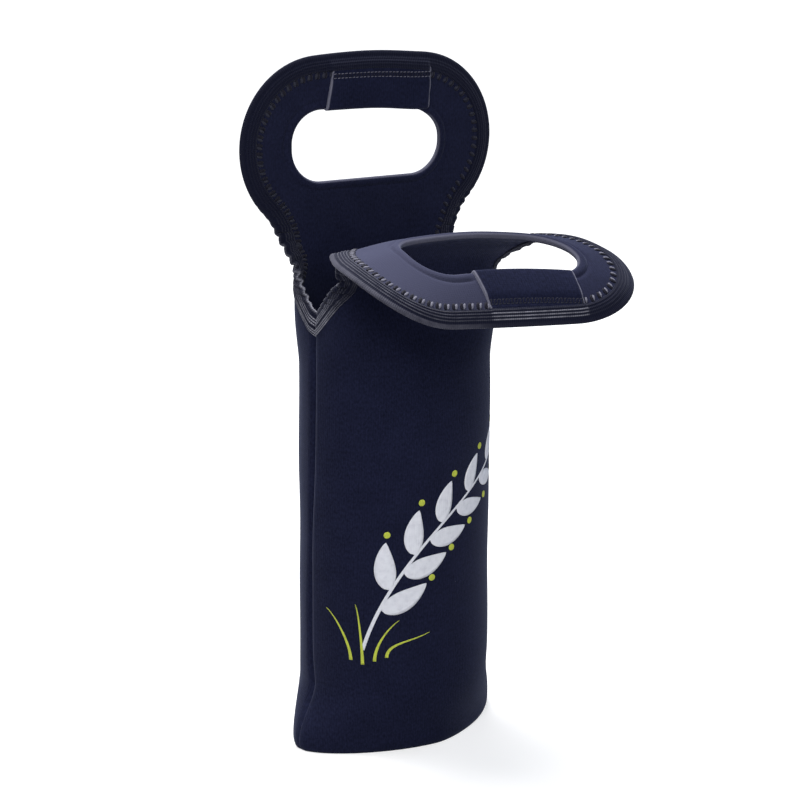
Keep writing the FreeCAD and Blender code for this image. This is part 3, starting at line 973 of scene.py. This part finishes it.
def make_tape(name, side):
    """Closed ribbed tape along the whole free edge of a panel."""
    section = tape_section()
    line, inward = mitred_edge()
    count, width = len(line), len(section)
    flat = on_seam((line[:, None] + inward[:, None] * section[:, :1]).reshape(-1, 2))
    x, v = flat[:, 0], flat[:, 1]
    inset, height, rib, peak = np.tile(section, (count, 1)).T
    start, end = grip[side]
    over = ease(x, start + step_ease, start + 2 * step_ease) * (1 - ease(x, end, end + step_ease))
    over = over * (v > hole_middle)
    step = tongue_step * over * ease(inset, *step_reach) * (height < -1)
    points = lay_at(side, x, v, height * edge_slim(x, v) - step)
    # pale is painted light on each loop: most on the fallen loop's left, little on the standing loop
    on_loop, pale = ease(v, *loop_tone), painted_light_on_loop(side, x)
    low = notch_crest * (1 - notch_fade_share * ease(v, *notch_fade))
    # A painted highlight on the ribs over the fallen grip
    shine = crown_shine * over * (1 - ease(inset, *shine_end)) if side < 0 else 0
    crest = low + (loop_crest * (pale + shine) - low) * on_loop
    # The rim's pale cut edge fades with painted light towards the fallen loop's right and hardly shows on
    # the standing loop
    rim_with_painted_light = pale * (1 - rim_fade_share * ease(x, *rim_fade)) * (peak > 0) * on_loop
    notch_line = notch_rim * peak**rim_sharpness * (1 - line_fade_share * ease(v, *line_fade))
    crest = rib * crest + notch_line * (1 - on_loop)
    along = np.repeat(walk(line), width) * MM
    faces = tube_faces(np.arange(count * width).reshape(count, width))
    return make_piece(name, points, faces, edge_tape, flat, crest=crest, rim=rim_with_painted_light, along=along)


tapes = {name: make_tape(name + "_edge_tape", side) for name, side in sides.items()}

# %% [markdown]
# Stitches repeat along a line, which is what Geometry Nodes are for. The tree takes a path that lies on the
# cloth, steps along it at the stitch pitch, and puts a small thread there that lies along the path and
# faces out of the cloth. Pitch, length, width, thickness and tilt are inputs, so one tree sews every seam.

# %% Geometry Nodes tree for stitches


def stitch_tree():
    """Tree that sews threads along a path whose attribute up points out of the cloth."""
    tree = bpy.data.node_groups.new("stitch_row", "GeometryNodeTree")
    tree.interface.new_socket("Path", in_out="INPUT", socket_type="NodeSocketGeometry")
    for label in ("Pitch", "Length", "Width", "Thickness", "Tilt"):
        tree.interface.new_socket(label, in_out="INPUT", socket_type="NodeSocketFloat")
    tree.interface.new_socket("Thread", in_out="INPUT", socket_type="NodeSocketMaterial")
    tree.interface.new_socket("Stitches", in_out="OUTPUT", socket_type="NodeSocketGeometry")
    given = add_node(tree, "NodeGroupInput").outputs
    curve = add_node(tree, "GeometryNodeMeshToCurve", {0: given["Path"]}).outputs[0]
    pitch = {"Curve": curve, "Length": given["Pitch"]}
    steps = add_node(tree, "GeometryNodeResampleCurve", pitch, mode="LENGTH").outputs[0]
    ball = {"Segments": 8, "Rings": 5, "Radius": 0.5}
    bead = add_node(tree, "GeometryNodeMeshUVSphere", ball).outputs["Mesh"]
    sizes = {"X": given["Length"], "Y": given["Width"], "Z": given["Thickness"]}
    scale = add_node(tree, "ShaderNodeCombineXYZ", sizes).outputs[0]
    up = add_node(tree, "GeometryNodeInputNamedAttribute", {"Name": "up"}, data_type="FLOAT_VECTOR")
    axes = {0: up.outputs["Attribute"], 1: add_node(tree, "GeometryNodeInputTangent").outputs[0]}
    turn = add_node(tree, "FunctionNodeAxesToRotation", axes, primary_axis="Z", secondary_axis="X")
    lean = {"Axis": (0, 0, 1), "Angle": given["Tilt"]}
    tilt = add_node(tree, "FunctionNodeAxisAngleToRotation", lean)
    both = {0: turn.outputs[0], 1: tilt.outputs[0]}
    tilted = add_node(tree, "FunctionNodeRotateRotation", both, rotation_space="LOCAL")
    row = {"Points": steps, "Instance": bead, "Rotation": tilted.outputs[0], "Scale": scale}
    sewn = add_node(tree, "GeometryNodeInstanceOnPoints", row).outputs[0]
    sewn = add_node(tree, "GeometryNodeRealizeInstances", {0: sewn}).outputs[0]
    sewn = add_node(tree, "GeometryNodeSetShadeSmooth", {0: sewn}).outputs[0]
    paint = {"Geometry": sewn, "Material": given["Thread"]}
    sewn = add_node(tree, "GeometryNodeSetMaterial", paint).outputs[0]
    add_node(tree, "NodeGroupOutput", {"Stitches": sewn})
    return tree


stitch_row = stitch_tree()


def stitch(pitch, length, width, thickness, tilt, thread):
    """Inputs of the tree, from sizes in millimetres and a tilt in radians."""
    sizes = {"Pitch": pitch, "Length": length, "Width": width, "Thickness": thickness}
    return {label: size * MM for label, size in sizes.items()} | {"Tilt": tilt, "Thread": thread}


def sew(name, paths, ups, values):
    """Run the tree on paths in millimetres and keep the result as a plain mesh."""
    mesh = bpy.data.meshes.new(name)
    edges, first = [], 0
    for path in paths:
        edges += [(first + i, first + i + 1) for i in range(len(path) - 1)]
        first += len(path)
    mesh.from_pydata((np.concatenate(paths) * MM).tolist(), edges, [])
    up = mesh.attributes.new("up", "FLOAT_VECTOR", "POINT")
    up.data.foreach_set("vector", np.concatenate(ups).ravel())
    piece = place_in_scene(name, mesh)
    modifier = piece.modifiers.new("sew", "NODES")
    modifier.node_group = stitch_row
    for item in stitch_row.interface.items_tree:
        if item.in_out == "INPUT" and item.name in values:
            modifier[item.identifier] = values[item.name]
    graph = bpy.context.evaluated_depsgraph_get()
    sewn = bpy.data.meshes.new_from_object(piece.evaluated_get(graph), depsgraph=graph)
    piece.modifiers.clear()
    piece.data = sewn
    sewn.name = name
    print(name, len(sewn.polygons), "faces")
    return piece


def join(name, pieces):
    """Several plain meshes made into one piece."""
    shape = bmesh.new()
    materials = list(dict.fromkeys(material for piece in pieces for material in piece.data.materials))
    for piece in pieces:
        start = len(shape.faces)
        shape.from_mesh(piece.data)
        shape.faces.ensure_lookup_table()
        for face in shape.faces[start:]:
            face.material_index = materials.index(piece.data.materials[face.material_index])
    mesh = bpy.data.meshes.new(name)
    shape.to_mesh(mesh)
    shape.free()
    for material in materials:
        mesh.materials.append(material)
    for piece in pieces:
        bpy.data.objects.remove(piece)
    return place_in_scene(name, mesh)


print("tree", stitch_row.name)

# %% [markdown]
# On the inner face a row of short bars holds the tape: pale threads across the line of stitches, with dark
# loops of the second thread between them. Both rows follow the free edge at one inset, half a stitch apart.
# The standing loop was sewn with a darker thread.

# %% Stitches along the tape
stitch_pitch = 4.3
stitch_inset = 9.4
stitch_depth = -cloth / 2 - 0.15
path_step = 0.43
edge_threads = {"front": pale_thread, "back": grey_thread}


def stitch_line():
    """Flat line of the stitches along the free edge."""
    line, inward = mitred_edge()
    flat = line + inward * stitch_inset
    inside = np.abs(flat[:, 0]) < quarter(flat[:, 1]) - 0.3
    keep = (flat[:, 1] > notch_foot - 8) & inside | (flat[:, 1] > notch_foot + 6)
    return even_steps(flat[keep], path_step, smooth=2)


def sewn_path(side, flat, height):
    """A flat line laid on the cloth, with the direction out of its face."""
    x, v = flat[:, 0], flat[:, 1]
    out = facing(lay, side, x, v) * np.sign(height)
    return lay_at(side, x, v, np.full(len(x), height)), out


def make_edge_stitches(name, side, thread):
    """Pale bars and dark loops on the inner face of the loop."""
    path, up = sewn_path(side, stitch_line(), stitch_depth)
    half_pitch = int(stitch_pitch / 2 / path_step)
    bar = stitch(stitch_pitch, 3.3, 1.5, 1.1, 1.25, thread)
    loop = stitch(stitch_pitch, 3.9, 1.9, 1.1, 1.45, dark_thread)
    bars = sew(name + "_bars", [path], [up], bar)
    loops = sew(name + "_loops", [path[half_pitch:]], [up[half_pitch:]], loop)
    return join(name, [bars, loops])


edge_stitches = {}
for name, side in sides.items():
    edge_stitches[name] = make_edge_stitches(name + "_edge_stitches", side, edge_threads[name])

# %% [markdown]
# The grip is a tongue of cloth left when the hand hole is cut. It folds back over the inner face of the
# loop and is sewn down near the edge. Its side view is a hook: over the outer face, round the top of the
# hole, and up the inner face to the stitches that press it flat. That hook is swept along the grip, and its
# cut ends show pale foam.

# %% Grip tongues
hole_top = hole_middle + hole_height / 2
tongue_cloth, tongue_gap = 1.8, 0.2
tongue_top = hole_top + 20.2
tongue_lean = {-1: (2.2, 0.0), 1: (4.2, 1.8)}
fold_rise, fold_drop, face_start = 1.2, 0.7, 2.4
# Distances of the two rows of stitches below the top, and how they press the cloth
grip_rows = (2.5, 4.7)
press_depth, press_reach = 0.25, 0.7
thin_share, thin_from, thin_to = 0.35, 8.6, 3.6
round_from, round_to = 0.6, -0.3
# Steps in from a cut end, and how much the hook shrinks there
end_steps, end_shrink = np.array([0, 0.15, 0.45, 0.9]), np.array([0.6, 0.3, 0.1, 0])
end_raw = (0.3, 0.95)
middle_steps = 40
row_share, rung_share = 0.55, 0.68
grip_threads = {"front": grey_thread, "back": pale_thread}


def tongue_hook():
    """Closed outline of the hook: height on the pattern, and depth through the cloth, inwards positive."""
    back, front = cloth / 2 + tongue_gap, cloth / 2 + tongue_cloth
    turn = np.linspace(-np.pi / 2, np.pi / 2, 15)
    depth = (front - back) / 2 + (front + back) / 2 * np.sin(turn)
    fold = np.stack([hole_top + fold_rise - (fold_rise + fold_drop) * np.cos(turn), depth], 1)
    rise = np.linspace(hole_top + face_start, tongue_top, 26)
    press = sum(np.exp(-(((tongue_top - row - rise) / press_reach) ** 2)) for row in grip_rows)
    thin = 1 - thin_share * ease(rise, tongue_top - thin_from, tongue_top - thin_to)
    end = np.sqrt(1 - ease(rise, tongue_top - round_from, tongue_top - round_to))
    face = cloth / 2 + tongue_cloth * thin * (1 - press_depth * press) * end
    root = [(tongue_top, 1.0), (hole_top + 5, 0.8), (hole_top + 3.0, -0.9), (hole_top + 2.6, -back + 0.1)]
    return np.concatenate([fold, np.stack([rise, face], 1), root])


def make_tongue(name, side):
    """Folded cloth over the grip."""
    start, end = grip[side]
    span = end - start
    hook = tongue_hook()
    away = unit(hook - hook.mean(axis=0))
    inset = np.concatenate([end_steps, np.linspace(2, span - 2, middle_steps), span - end_steps[::-1]])
    shrink = np.concatenate([end_shrink, np.zeros(middle_steps), end_shrink[::-1]])
    flat, depth, raw = [], [], []
    for step, small in zip(inset, shrink):
        ring = hook - away * small
        lean = tongue_lean[side][0] * (1 - step / span) + tongue_lean[side][1] * (step / span)
        slope = lean * (ring[:, 0] - hole_top) / (tongue_top - hole_top)
        flat.append(np.stack([start + step + slope, ring[:, 0]], 1))
        depth.append(ring[:, 1])
        raw.append(np.full(len(hook), 1 - ease(min(step, span - step), *end_raw)))
    flat, depth, raw = np.concatenate(flat), np.concatenate(depth), np.concatenate(raw)
    points = lay_at(side, flat[:, 0], flat[:, 1], -depth)
    faces = tube_faces(np.arange(len(flat)).reshape(len(inset), len(hook)))
    return make_piece(name, points, faces, grip_cloth, flat, raw=raw)


def grip_path(side, row, share):
    """Path along the grip, at a distance below the tongue's top and a share of its thickness."""
    (start, end), (low, high) = grip[side], tongue_lean[side]
    x = np.linspace(start + low + 1, end + high - 1, 60)
    flat = np.stack([x, np.full_like(x, tongue_top - row)], 1)
    return sewn_path(side, flat, -(cloth / 2 + tongue_cloth * share))


def make_grip_stitches(name, side, thread):
    """Two rows of small stitches that hold the tongue, with the loops of thread between them."""
    paths, ups = zip(*[grip_path(side, row, row_share) for row in grip_rows])
    rows = sew(name + "_rows", paths, ups, stitch(2.1, 1.8, 0.5, 0.5, 0.12, thread))
    path, up = grip_path(side, sum(grip_rows) / 2, rung_share)
    rungs = sew(name + "_rungs", [path], [up], stitch(1.5, 2.6, 0.42, 0.5, 1.35, dark_thread))
    return join(name, [rows, rungs])


tongues = {name: make_tongue(name + "_grip_tongue_cloth", side) for name, side in sides.items()}
grip_stitches = {}
for name, side in sides.items():
    grip_stitches[name] = make_grip_stitches(name + "_grip_stitches", side, grip_threads[name])

# %% [markdown]
# Inside, the side seams show the turned-in edges of both panels with a row of stitches on each side, and
# the base is a lens of cloth with its own turned-in edge standing round it. All of this is seen through the
# mouth, and the base from below as well.

# %% Base and inside seams
allowance = 8.0
fit = 0.2
allowance_foot, allowance_top = cloth + allowance + fit, 207.0
# Share of the outline and height of the base pad's lower half
base_rows = [(0.02, 0), (0.5, 0), (0.9, 0), (0.98, 0.15), (1.0, 0.8)]
# Depth from the wall, place across the seam and paleness of half the section of a side allowance
seam_half = [(0, -3.0, 0), (4, -3.0, 0), (7.2, -2.9, 0.2), (8, -2.2, 1), (8, -0.8, 1)]
seam_section = seam_half + [(7.4, 0, 0)] + [(depth, -y, pale) for depth, y, pale in seam_half[::-1]]
# Length and size of the waves in a side allowance
seam_waves = ((11, 0.35), (4.3, 0.2))
# Size, pace and lowest height of the wave in the base allowance
ring_wave, ring_pace, ring_foot = 0.25, 0.9, 9
outline_pitch = 2.2
seam_stitch = stitch(3, 2.5, 0.7, 0.6, 0.08, pale_thread)
# Stitches of the base allowance, up from its middle and in from the wall
ring_stitch_rise, ring_stitch_depth = 0.6, 6.15
# Stitches of a side allowance, in from the wall and out from its middle
side_stitch_depth, side_stitch_place = 4, 3.1
seam_overlap = 0.4


def outline_at(height, grow_by, count=120):
    """Closed outline of the body at a height, moved out by an amount."""
    turn = np.linspace(0, 2 * np.pi, count, endpoint=False)
    return np.stack(settled(*outline_points(height, grow_by, np.cos(turn), np.sin(turn)), height), 1)


def make_base():
    """Lens-shaped pad with a rounded edge."""
    rows = base_rows + [(share, cloth - z) for share, z in base_rows[::-1]]
    outline = outline_at(0, -cloth - fit)
    rings = [np.column_stack([outline * share, np.full(len(outline), z)]) for share, z in rows]
    points = np.concatenate(rings)
    faces = tube_faces(np.arange(len(points)).reshape(len(rows), len(outline)))
    raw = np.zeros(len(points))
    return make_piece("base_panel_cloth", points, faces, panel_cloth, points[:, :2], raw=raw)


def make_base_allowance():
    """Turned-in edges of walls and base, a closed ring that stands on the base pad."""
    top = cloth + allowance
    section = [(0, 3.1, 0), (0, 6.5, 0), (0, top - 0.8, 0.2), (0.8, top, 1), (2.4, top, 1)]
    section += [(2.9, top - 1, 0.1), (3.4, top, 1), (5.2, top, 1)]
    section += [(6, top - 0.8, 0.2), (6, 6.5, 0), (6, 3.1, 0)]
    rings = []
    for depth, z, pale in section:
        outline = outline_at(z, -cloth - fit - depth)
        wave = ring_wave * np.sin(np.arange(len(outline)) * ring_pace + z)
        rings.append(np.column_stack([outline, np.full(len(outline), z) + wave * (z > ring_foot)]))
    points, count = np.concatenate(rings), len(rings[0])
    ids = np.arange(len(points)).reshape(len(rings), count)
    faces = grid_faces([*ids, ids[0]], closed=True)
    cut = np.column_stack([np.tile(np.arange(count) * outline_pitch, len(rings)), points[:, 2]])
    raw = np.repeat([pale for depth, z, pale in section], count)
    return make_piece("base_seam_edge", points, faces, seam_cloth, cut, raw=raw)


def make_base_stitches():
    """Row of stitches round the inside of the base allowance."""
    height = cloth + allowance / 2 + ring_stitch_rise
    outline = outline_at(height, -cloth - fit - ring_stitch_depth, 240)
    path = np.column_stack([outline, np.full(len(outline), height)])
    path = np.concatenate([path, path[:1]])
    up = unit(np.column_stack([-path[:, :2], np.zeros(len(path))]))
    return sew("base_seam_stitches", [path], [up], seam_stitch)


def seam_wall(level):
    """Reach of the wall's inner face at the side seam."""
    return np.interp(level, section_heights, section_x[:, -1]) - cloth / 2 - fit


def seam_wave(level):
    """How far the turned-in edges wander to one side."""
    return sum(size * np.sin(level / length) for length, size in seam_waves)


def make_side_allowance(name, hand):
    """Turned-in edges of both panels at one side seam."""
    levels = np.linspace(allowance_foot, allowance_top, 70)
    points, cut, raw = [], [], []
    for level in levels:
        for depth, y, pale in seam_section:
            x = hand * (seam_wall(level) - depth + seam_overlap)
            points.append((*settled(x, y + seam_wave(level) * depth / allowance, level), level))
            cut.append((depth + y, level))
            raw.append(pale)
    faces = tube_faces(np.arange(len(points)).reshape(len(levels), len(seam_section)))
    return make_piece(name, points, faces, seam_cloth, cut, raw=raw)


def make_side_stitches(name, hand):
    """Needle and bobbin thread on the two faces of a side allowance."""
    levels = np.linspace(allowance_foot + 1, allowance_top - 1, 160)
    x = hand * (seam_wall(levels) - side_stitch_depth)
    paths, ups = [], []
    for face in (-1, 1):
        y = face * side_stitch_place + seam_wave(levels) * side_stitch_depth / allowance
        paths.append(np.column_stack([*settled(x, y, levels), levels]))
        ups.append(np.tile((0, face, 0), (len(levels), 1)).astype(float))
    return sew(name, paths, ups, seam_stitch)


# Each piece with the node that it stands for and its slot
base_pieces = [
    (make_base(), "base_panel", "panel_cloth"),
    (make_base_allowance(), "base_seam_allowance", "seam_edge"),
    (make_base_stitches(), "base_seam_thread", "thread"),
]
side_pieces = []
for label, hand in (("left", -1), ("right", 1)):
    edge = make_side_allowance(label + "_seam_edge", hand)
    side_pieces.append((edge, label + "_seam_allowance", "seam_edge"))
    threads = make_side_stitches(label + "_seam_stitches", hand)
    side_pieces.append((threads, label + "_seam_thread", "thread"))

# %% [markdown]
# The front is printed with a sprig in white and lime ink. Each leaf, berry and blade of grass is a ribbon
# on the flat pattern: a middle line with a half width at every point. Laid just over the face of the cloth,
# it curves with the body. Its underside stays inside the cloth, so no gap shows below the ink.

# %% Printed sprig
ink_film, ink_root = 0.12, 0.3
ribbon_columns = np.linspace(-1, 1, 7)
thinnest = 0.12
stem_points = np.array([(-40, 56), (-26, 104), (2, 128), (44, 150)])
stem_half, stem_taper = 0.95, 0.5
leaf_places = np.linspace(0.16, 0.93, 10)
leaf_lean, leaf_bend = 0.85, 0.45
berry_radius, berry_gap = 1.7, 4
# Foot and tip of each blade of grass
grass = ((-46, 50, -60, 76), (-40, 48, -44, 80), (-34, 50, -22, 72), (-28, 52, -6, 64))
blade_half = 0.75


def bezier(points, share):
    """Points of a cubic curve."""
    share = np.asarray(share, float).reshape(-1, 1)
    weights = ((1 - share) ** 3, 3 * share * (1 - share) ** 2, 3 * share**2 * (1 - share), share**3)
    return sum(weight * point for weight, point in zip(weights, points))


def ink_ribbon(line, half):
    """Flat grid of points along a middle line."""
    tangent = unit(np.gradient(line, axis=0))
    across = np.stack([-tangent[:, 1], tangent[:, 0]], 1)
    return line[:, None, :] + across[:, None, :] * (half[:, None] * ribbon_columns)[:, :, None]


def leaf(place, hand, length, width):
    """Curved leaf that grows from a place on the stem, to the left (1) or right (-1)."""
    base, ahead = bezier(stem_points, [place, place + 0.02])
    heading = np.arctan2(*(ahead - base)[::-1]) + hand * leaf_lean
    share = np.linspace(0, 1, 22)
    turn = heading - hand * leaf_bend * share
    steps = np.stack([np.cos(turn), np.sin(turn)], 1) * length / len(share)
    half = width / 2 * np.sin(np.pi * share**0.75) ** 0.8 + thinnest
    return ink_ribbon(base + np.cumsum(steps, axis=0), half)


def berry(leaf_ribbon):
    """Round berry just past the tip of a leaf."""
    middle = leaf_ribbon[:, len(ribbon_columns) // 2]
    share = np.linspace(-0.98, 0.98, 13)
    centre = middle[-1] + unit(middle[-1] - middle[-2]) * berry_gap
    line = centre + np.stack([share * berry_radius, share * 0], 1)
    return ink_ribbon(line, berry_radius * np.sqrt(1 - share**2))


def blade(x, v, tip_x, tip_v):
    """Bent blade of grass."""
    points = np.array([(x, v), (x, v + 8), ((x + tip_x) / 2, tip_v - 4), (tip_x, tip_v)])
    share = np.linspace(0, 1, 20)
    return ink_ribbon(bezier(points, share), blade_half * (1 - share) + thinnest)


def make_print(name, ribbons, ink):
    """Closed film of ink for a list of ribbons."""
    points, faces, cut, first = [], [], [], 0
    for ribbon in ribbons:
        flat = ribbon.reshape(-1, 2)
        face = cloth / 2 + wall_sag(-1, flat[:, 0], flat[:, 1])
        for height in (face + ink_film, face - ink_root):
            points.append(lay_at(-1, flat[:, 0], flat[:, 1], height))
            cut.append(flat)
        top = first + np.arange(len(flat)).reshape(ribbon.shape[:2])
        low = top + len(flat)
        faces += grid_faces(top) + grid_faces(low)
        rims = [[*g[0], *g[1:, -1], *g[-1][::-1][1:], *g[::-1, 0][1:-1]] for g in (top, low)]
        faces += strip_faces(*rims, closed=True)
        first += 2 * len(flat)
    return make_piece(name, np.concatenate(points), faces, ink, np.concatenate(cut))


share = np.linspace(0, 1, 60)
sprig = [ink_ribbon(bezier(stem_points, share), stem_half - stem_taper * share)]
for index, place in enumerate(leaf_places):
    sprig.append(leaf(place, 1 if index % 2 else -1, 29 - 11 * place, 11.5 - 4 * place))
sprig.append(leaf(0.985, 0.2, 18, 7))
accents = [berry(ribbon) for ribbon in sprig[1:-1]] + [blade(*numbers) for numbers in grass]
prints = [make_print("sprig_print", sprig, white_ink), make_print("accent_print", accents, lime_ink)]

# %% [markdown]
# Each piece now takes the place of its CAD solids, which are hidden. Cloth, tape and their stitches keep
# their place, baked into their meshes; the tongues and grip stitches are fixed to a handle, and the inside
# seams, the base and the print to the bag.


def follow(piece, name, slot, *nodes):
    """Bake a piece's place into its mesh and let it stand for its nodes."""
    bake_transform(piece)
    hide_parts(*nodes)


def ride(piece, body, node):
    """Fix a piece to one body and let it stand for its node."""
    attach(piece, body)
    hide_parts(node)


for name in sides:
    follow(panels[name], name, "panel_cloth", name + "_panel", name + "_handle_loop")
    bindings = [name + "_mouth_binding_left", name + "_mouth_binding_right", name + "_handle_binding"]
    follow(tapes[name], name, "edge_tape", *bindings)
    follow(edge_stitches[name], name, "thread", name + "_mouth_thread", name + "_binding_thread")
for name in sides:
    ride(tongues[name], name + "_handle", name + "_grip_tongue")
    ride(grip_stitches[name], name + "_handle", name + "_grip_stitch")
for piece, node, slot in side_pieces + base_pieces:
    ride(piece, "bag", node)
for piece in prints:
    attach(piece, "bag")
print("blended across a hinge:", ", ".join(f"{name} panel, tape and stitches" for name in sides))
